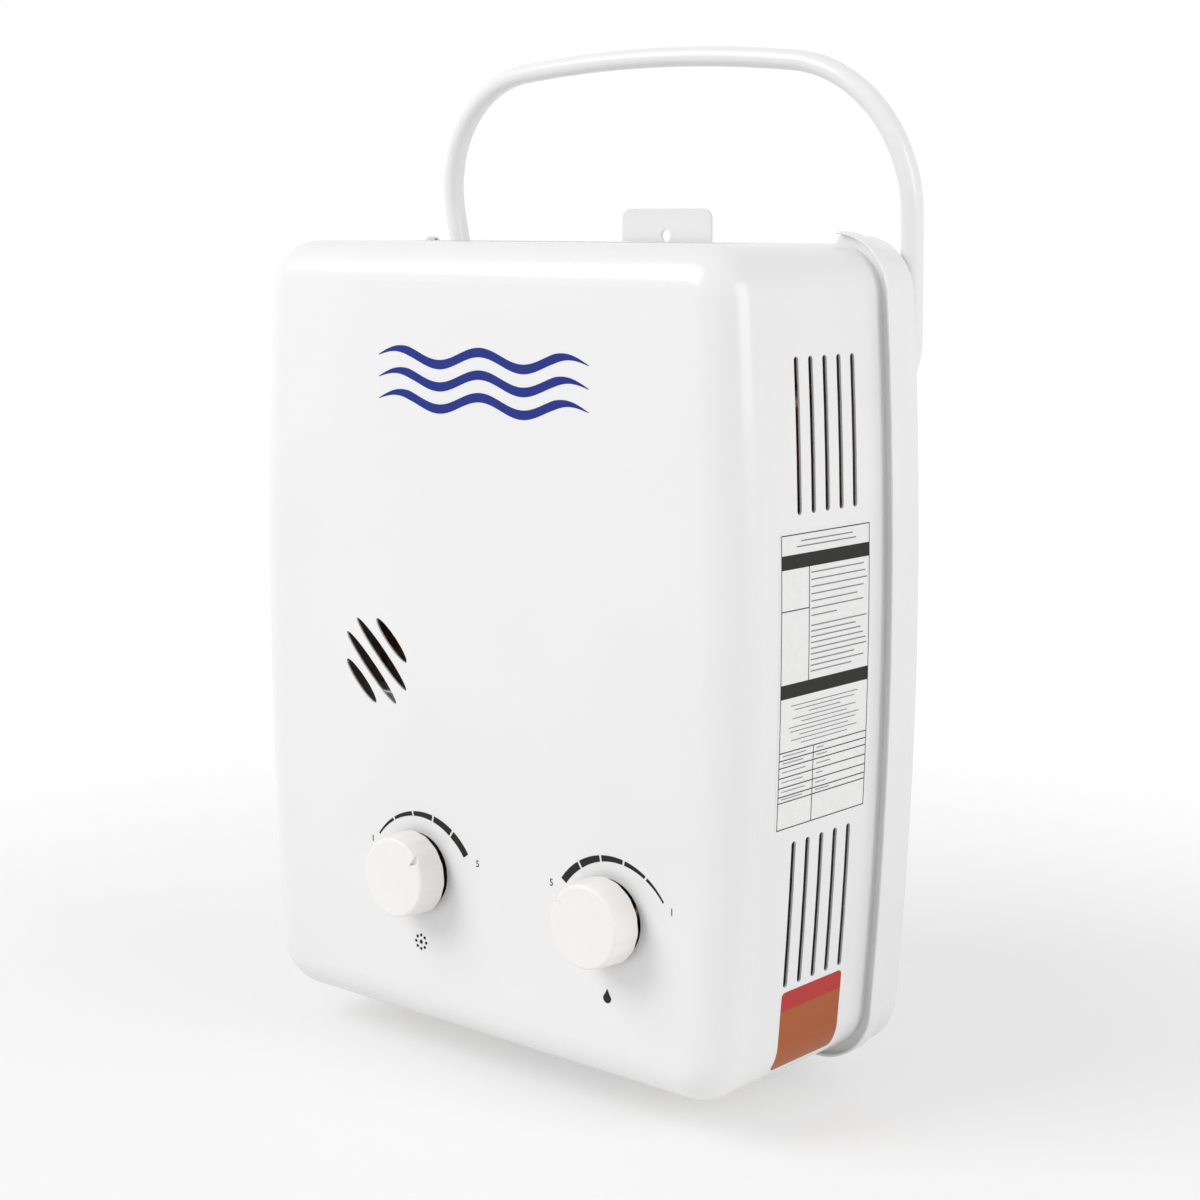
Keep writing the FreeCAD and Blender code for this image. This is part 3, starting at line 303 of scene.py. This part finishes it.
def heated_steel():
    """Stainless sheet tinted straw and blue by the burner."""
    material, shader = new_material("stainless", (0.5, 0.5, 0.5), 0.34, metallic=1.0)
    cloud = noise(material, 22.0, 3.0, (1, 1, 0.3))
    ramp = add_node(material, "ShaderNodeValToRGB")
    ramp.color_ramp.elements[0].position = 0.35
    ramp.color_ramp.elements[0].color = (0.36, 0.37, 0.42, 1)
    ramp.color_ramp.elements[1].position = 0.68
    ramp.color_ramp.elements[1].color = (0.62, 0.60, 0.57, 1)
    straw = ramp.color_ramp.elements.new(0.5)
    straw.color = (0.58, 0.50, 0.38, 1)
    link(material, cloud, 0, ramp, "Fac")
    link(material, ramp, "Color", shader, "Base Color")
    bump_from(material, shader, noise(material, 90.0, 4.0, (1, 12, 1)), 0, 0.00004, 0.2)
    return material


def ink(name, colour, roughness=0.45):
    """Screen-printed ink, slightly uneven."""
    material, shader = new_material(name, colour, roughness)
    socket(shader, "Specular IOR Level", 0.2)
    bright = tuple(c * 1.04 + 0.003 for c in colour)
    vary_colour(material, shader, noise(material, 260.0, 3.0), colour, bright)
    bump_from(material, shader, noise(material, 900.0, 2.0), 0, 0.00002, 0.3)
    return material


looks = {
    "white_enamel": enamel(),
    "knob_plastic": knob_plastic(),
    "zinc_steel": rolled_metal("zinc_steel", (0.46, 0.47, 0.49), (0.64, 0.65, 0.66), 0.36, (1, 1, 6)),
    "stainless": heated_steel(),
    "copper": rolled_metal("copper", (0.55, 0.25, 0.15), (0.80, 0.44, 0.30), 0.3, (6, 1, 1)),
    "brass": rolled_metal("brass", (0.56, 0.41, 0.16), (0.76, 0.60, 0.28), 0.28, (1, 1, 10)),
    "cast_aluminium": cast_metal(),
    "black_plastic": grained_plastic("black_plastic", (0.018, 0.018, 0.019), (0.035, 0.035, 0.037), 0.5),
    "grey_plastic": grained_plastic("grey_plastic", (0.25, 0.26, 0.27), (0.36, 0.37, 0.38), 0.5),
    "ceramic": glazed_ceramic(),
    "rubber": grained_plastic("rubber", (0.012, 0.012, 0.012), (0.028, 0.028, 0.028), 0.75),
    "lead_insulation": grained_plastic("lead_insulation", (0.30, 0.02, 0.015), (0.45, 0.05, 0.04), 0.45),
    "cell_wrap": grained_plastic("cell_wrap", (0.03, 0.04, 0.06), (0.06, 0.07, 0.10), 0.3),
}
black_ink = ink("black_ink", (0.012, 0.012, 0.011))
navy_ink = ink("navy_ink", (0.012, 0.025, 0.22))
label_white = ink("label_white", (0.84, 0.84, 0.835), 0.3)
label_orange = ink("label_orange", (0.39, 0.102, 0.028), 0.4)
label_red = ink("label_red", (0.47, 0.035, 0.03), 0.4)
label_grey = ink("label_grey", (0.22, 0.22, 0.22))


def dress_nodes():
    for part in frame["record"]["subparts"]:
        mesh = nodes[part["node"]].data
        mesh.materials.clear()
        mesh.materials.append(looks[part["material_slot"]])


dress_nodes()


# Shapes

def add_piece(name, mesh, material, body):
    piece = bpy.data.objects.new(name, mesh)
    bpy.context.scene.collection.objects.link(piece)
    mesh.materials.append(material)
    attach(piece, body)
    return piece


def mesh_of(name, points, faces):
    mesh = bpy.data.meshes.new(name)
    mesh.from_pydata([tuple(p) for p in points], [], faces)
    mesh.validate()
    return mesh


def panel_print(name, strips, material):
    """Ink on the front panel. Each strip is a closed outline of (x, z) points, filled."""
    builder = bmesh.new()
    for outline in strips:
        builder.faces.new([builder.verts.new((x, y_face - print_lift, z)) for x, z in outline])
    for face in builder.faces:
        face.normal_update()
        if face.normal.y > 0:
            face.normal_flip()
    front = list(builder.faces)
    made = bmesh.ops.extrude_face_region(builder, geom=front)
    sunk = [v for v in made["geom"] if isinstance(v, bmesh.types.BMVert)]
    bmesh.ops.translate(builder, verts=sunk, vec=(0, print_lift * 1.5, 0))
    bmesh.ops.recalc_face_normals(builder, faces=builder.faces)
    mesh = bpy.data.meshes.new(name)
    builder.to_mesh(mesh)
    builder.free()
    return add_piece(name, mesh, material, "heater")


def arc_band(cx, cz, start, end, thick_at, radius, steps=12):
    """A band along an arc. Angles run clockwise from the top; thick_at gives the width at an angle."""
    angles = [start + (end - start) * i / steps for i in range(steps + 1)]
    outer = [(cx + radius * math.sin(a), cz + radius * math.cos(a)) for a in angles]
    inner = [(cx + (radius - thick_at(a)) * math.sin(a), cz + (radius - thick_at(a)) * math.cos(a))
             for a in reversed(angles)]
    return outer + inner


def dial_strips(cx, max_side):
    """The dial's band, thin at the low end and thick at the high end, in five pieces."""
    cz = knob_z - dial_drop

    def thick_at(angle):
        share = (angle * max_side / dial_span + 1) / 2
        return dial_thin + (dial_thick - dial_thin) * min(1.0, share * dial_growth)
    pitch = 2 * dial_span / dial_segments
    strips = []
    for i in range(dial_segments):
        start = -dial_span + i * pitch + (dial_gap if i else 0)
        end = -dial_span + (i + 1) * pitch - (dial_gap if i + 1 < dial_segments else 0)
        strips.append(arc_band(cx, cz, start, end, thick_at, dial_radius + dial_thick / 2))
    return strips


def digit(name, character, x, z):
    """A plain printed digit, centred on a point of the front panel."""
    curve = bpy.data.curves.new(name, "FONT")
    curve.body = character
    curve.size = digit_size
    curve.align_x = "CENTER"
    curve.align_y = "CENTER"
    curve.extrude = print_lift
    curve.resolution_u = 6
    writer = bpy.data.objects.new(name, curve)
    mesh = bpy.data.meshes.new_from_object(writer)
    bpy.data.objects.remove(writer)
    mesh.transform(Matrix.Translation((x, y_face, z)) @ Matrix.Rotation(math.pi / 2, 4, "X"))
    mesh.materials.clear()
    return add_piece(name, mesh, black_ink, "heater")


def dial(name, x, max_side):
    panel_print(name + "_dial", dial_strips(x, max_side), black_ink)
    reach = dial_radius + dial_thick / 2
    side = reach * math.sin(dial_span)
    z = knob_z - dial_drop + reach * math.cos(dial_span) - digit_drop
    digit(name + "_digit_low", low_digit, x - max_side * (side + digit_low_shift), z)
    digit(name + "_digit_high", high_digit, x + max_side * (side + digit_high_shift), z)


dial("gas", gas_x + gas_dial_shift, 1)
dial("water", water_x + water_dial_shift, -1)


def disc(cx, cz, radius, steps=20):
    return [(cx + radius * math.sin(2 * math.pi * i / steps), cz + radius * math.cos(2 * math.pi * i / steps))
            for i in range(steps)]


def drop_outline():
    """A water drop: a round belly drawn up to a point."""
    outline = []
    for i in range(drop_steps):
        angle = 2 * math.pi * i / drop_steps
        up = math.cos(angle)
        narrow = 1 - max(0.0, up) ** 2 * drop_narrowing
        rise = drop_radius * up + (drop_height - drop_radius) * max(0.0, up) ** 4
        outline.append((drop_x + drop_radius * math.sin(angle) * narrow, drop_z + rise))
    return outline


def burner_mark():
    """A ring of dots round a middle dot, like a burner seen from above."""
    dots = [disc(burner_x, burner_z, burner_dot * burner_middle)]
    for i in range(burner_dots):
        angle = 2 * math.pi * i / burner_dots
        dots.append(disc(burner_x + burner_radius * math.sin(angle),
                         burner_z + burner_radius * math.cos(angle), burner_dot))
    return dots


def wave(z, steps=72):
    """A wavy band with tapered ends."""
    top = []
    bottom = []
    for i in range(steps + 1):
        share = i / steps
        x = wave_left + (wave_right - wave_left) * share
        middle = z + wave_rise * math.sin(share * 2 * math.pi * wave_turns)
        taper = min(1.0, wave_taper * min(share, 1 - share) + wave_tip)
        half = wave_thick / 2 * taper
        top.append((x, middle + half))
        bottom.append((x, middle - half))
    return top + bottom[::-1]


panel_print("water_mark", [drop_outline()], black_ink)
panel_print("gas_mark", burner_mark(), black_ink)
panel_print("waves", [wave(wave_middle + (i - (wave_count - 1) / 2) * wave_pitch)
                      for i in range(wave_count)], navy_ink)


def side_x(z):
    """The right side of the cover, which bows outward towards the middle."""
    return half_cover - side_bow * ((z - z_mid) / half_height) ** 2


def side_row(front, back, z, lift):
    x = side_x(z)
    sunk = x - print_lift
    return ((x + lift, front, z), (x + lift, back, z), (sunk, back, z), (sunk, front, z))


def sheets(name, strips, material):
    """Thin closed sheets as one mesh. Each strip is a list of rows, each row four corners in a ring."""
    points = []
    faces = []
    for rows in strips:
        base = len(points)
        for row in rows:
            points += row
        for i in range(len(rows) - 1):
            a = base + 4 * i
            b = a + 4
            for j in range(4):
                k = (j + 1) % 4
                faces.append((a + j, a + k, b + k, b + j))
        last = base + 4 * (len(rows) - 1)
        faces.append((base + 3, base + 2, base + 1, base))
        faces.append((last, last + 1, last + 2, last + 3))
    mesh = mesh_of(name, points, faces)
    builder = bmesh.new()
    builder.from_mesh(mesh)
    bmesh.ops.recalc_face_normals(builder, faces=builder.faces)
    builder.to_mesh(mesh)
    builder.free()
    return add_piece(name, mesh, material, "heater")


def side_sheets(name, patches, lift, material):
    """Flat patches (front, back, low, high) on the bowed side, as one mesh."""
    strips = []
    for front, back, bottom, top in patches:
        count = max(1, math.ceil((top - bottom) / side_step))
        strips.append([side_row(front, back, bottom + (top - bottom) * i / count, lift)
                       for i in range(count + 1)])
    return sheets(name, strips, material)


def label_patch(left, right, top, bottom):
    """A patch in shares of the label's printed frame: across from its front, down from its top."""
    y0 = label_front + label_margin
    wide = label_back - label_front - 2 * label_margin
    z1 = label_high - label_margin
    tall = label_high - label_low - 2 * label_margin
    return (y0 + wide * left, y0 + wide * right, z1 - tall * bottom, z1 - tall * top)


def add_label():
    """A printed panel: frame, two solid bands, cells and plain bars, with no lettering."""
    side_sheets("side_label", [(label_front, label_back, label_low, label_high)], print_lift,
                label_white)
    wide = label_back - label_front - 2 * label_margin
    tall = label_high - label_low - 2 * label_margin
    across = label_line / wide
    down = label_line / tall
    lines = [label_patch(0, 1, 0, down), label_patch(0, 1, 1 - down, 1),
             label_patch(0, across, 0, 1), label_patch(1 - across, 1, 0, 1)]
    lines += [label_patch(0, 1, top, bottom) for top, bottom in label_bands]
    lines += [label_patch(label_column, label_column + across, label_bands[0][1], label_bands[1][0]),
              label_patch(0, label_column, label_cell, label_cell + down),
              label_patch(table_column, table_column + across, table_top, 1)]
    lines += [label_patch(0, 1, share, share + down) for share in table_lines]
    side_sheets("side_label_lines", lines, ink_lift, black_ink)

    def bar(left, right, middle, thick):
        return label_patch(left, right, middle - thick / 2, middle + thick / 2)
    bars = [bar(*place, bar_thick) for place in title_bars]
    bars += [bar(text_left, right, upper_text_top + upper_text_pitch * i, bar_thick)
             for i, right in enumerate(upper_text)]
    bars += [bar(text_left, right, lower_text_top + lower_text_pitch * i, bar_thick)
             for i, right in enumerate(lower_text)]
    bars += [bar(left, right, notes_top + notes_pitch * i, thin_bar)
             for i, (left, right) in enumerate(notes)]
    for i, middle in enumerate(table_rows):
        bars.append(bar(0.04, 0.30 - 0.03 * (i % 2), middle, thin_bar))
        bars.append(bar(0.42, 0.50 + 0.04 * (i % 3), middle, thin_bar))
    side_sheets("side_label_bars", bars, ink_lift, label_grey)


def add_sticker():
    """A red and orange sticker with bare faces, bent round the lower corner of the cover."""
    z_bend = z_cover + cover_corner
    x_bend = side_x(z_bend) - cover_corner
    straight = sticker_top - z_bend
    around = cover_corner * sticker_wrap
    length = straight + around

    def row(along):
        inset = 0.0
        near_end = min(along, length - along)
        if near_end < sticker_round:
            inset = sticker_round - math.sqrt(sticker_round ** 2 - (sticker_round - near_end) ** 2)
        front = sticker_front + inset
        back = sticker_back - inset
        if along <= straight:
            z = sticker_top - along
            return side_row(front, back, z, print_lift)
        angle = (along - straight) / cover_corner

        def at(radius, y):
            return (x_bend + radius * math.cos(angle), y, z_bend - radius * math.sin(angle))
        return (at(cover_corner + print_lift, front), at(cover_corner + print_lift, back),
                at(cover_corner - print_lift, back), at(cover_corner - print_lift, front))

    split = sticker_top - sticker_split
    ends = [sticker_round * share for share in (0, 0.05, 0.15, 0.3, 0.5, 0.75, 1)]
    red = ends + [split]
    bends = 24
    middle = [split + (length - sticker_round - split) * i / bends for i in range(bends + 1)]
    orange = middle + [length - e for e in reversed(ends[:-1])]
    sheets("sticker_red", [[row(a) for a in red]], label_red)
    sheets("sticker_orange", [[row(a) for a in orange]], label_orange)


add_label()
add_sticker()


# Camera, floor and light

def add_camera():
    data = bpy.data.cameras.new("camera")
    data.sensor_width = sensor_width
    data.lens = focal_pixels / photo_size * sensor_width
    camera = bpy.data.objects.new("camera", data)
    bpy.context.scene.collection.objects.link(camera)
    forward = Vector((-math.sin(camera_yaw) * math.cos(camera_pitch),
                      math.cos(camera_yaw) * math.cos(camera_pitch), math.sin(camera_pitch)))
    right = Vector((math.cos(camera_yaw), math.sin(camera_yaw), 0))
    up = right.cross(forward)
    rolled_right = math.cos(camera_roll) * right + math.sin(camera_roll) * up
    rolled_up = -math.sin(camera_roll) * right + math.cos(camera_roll) * up
    turn = Matrix((rolled_right, rolled_up, -forward)).transposed()
    camera.matrix_world = Matrix.Translation(camera_place) @ turn.to_4x4()
    bpy.context.scene.camera = camera


def white_rays(tree):
    """1 for the rays that meet the plain white backdrop: those of the camera, of gloss and of glass."""
    ray = tree.nodes.new("ShaderNodeLightPath")
    total = ray.outputs["Is Camera Ray"]
    for name in ("Is Glossy Ray", "Is Transmission Ray"):
        either = tree.nodes.new("ShaderNodeMath")
        either.operation = "MAXIMUM"
        tree.links.new(total, either.inputs[0])
        tree.links.new(ray.outputs[name], either.inputs[1])
        total = either.outputs["Value"]
    return total


def add_floor():
    """A pale floor that keeps its shadow near the part and fades to white away from it."""
    corners = [(x * floor_reach, y * floor_reach, 0) for x, y in ((-1, -1), (1, -1), (1, 1), (-1, 1))]
    mesh = mesh_of("floor", corners, [(0, 1, 2, 3)])
    floor = bpy.data.objects.new("floor", mesh)
    bpy.context.scene.collection.objects.link(floor)
    material, shader = new_material("floor", (0.9, 0.9, 0.9), 0.9)
    place = add_node(material, "ShaderNodeTexCoord")
    far = add_node(material, "ShaderNodeVectorMath")
    far.operation = "LENGTH"
    link(material, place, "Object", far, 0)
    fade = add_node(material, "ShaderNodeMapRange")
    fade.interpolation_type = "SMOOTHSTEP"
    for name, value in (("From Min", fade_start), ("From Max", fade_end),
                        ("To Min", fade_least), ("To Max", 1.0)):
        fade.inputs[name].default_value = value
    link(material, far, "Value", fade, "Value")
    share = add_node(material, "ShaderNodeMath")
    share.operation = "MULTIPLY"
    link(material, fade, "Result", share, 0)
    material.node_tree.links.new(white_rays(material.node_tree), share.inputs[1])
    glow = add_node(material, "ShaderNodeEmission", Color=(1, 1, 1, 1), Strength=1.0)
    mix = add_node(material, "ShaderNodeMixShader")
    link(material, share, "Value", mix, 0)
    link(material, shader, "BSDF", mix, 1)
    link(material, glow, "Emission", mix, 2)
    link(material, mix, "Shader", material.node_tree.nodes["Material Output"], "Surface")
    mesh.materials.append(material)


def add_area(name, place, target, size, power):
    data = bpy.data.lights.new(name, "AREA")
    data.shape = "RECTANGLE"
    data.size, data.size_y = size
    data.energy = power
    lamp = bpy.data.objects.new(name, data)
    bpy.context.scene.collection.objects.link(lamp)
    aim = (Vector(target) - Vector(place)).to_track_quat("-Z", "Y")
    lamp.matrix_world = Matrix.Translation(place) @ aim.to_matrix().to_4x4()


def add_world():
    world = bpy.data.worlds.new("world")
    world.use_nodes = True
    bpy.context.scene.world = world
    tree = world.node_tree
    room = tree.nodes["Background"]
    room.inputs["Color"].default_value = (1, 1, 1, 1)
    room.inputs["Strength"].default_value = world_strength
    backdrop = tree.nodes.new("ShaderNodeBackground")
    backdrop.inputs["Color"].default_value = (1, 1, 1, 1)
    backdrop.inputs["Strength"].default_value = 1.0
    mix = tree.nodes.new("ShaderNodeMixShader")
    tree.links.new(white_rays(tree), mix.inputs[0])
    tree.links.new(room.outputs["Background"], mix.inputs[1])
    tree.links.new(backdrop.outputs["Background"], mix.inputs[2])
    tree.links.new(mix.outputs["Shader"], tree.nodes["World Output"].inputs["Surface"])


add_camera()
add_floor()
add_world()
add_area("key", key_place, light_target, key_size, key_power)
add_area("fill", fill_place, light_target, fill_size, fill_power)
bpy.context.scene.view_settings.view_transform = "Standard"
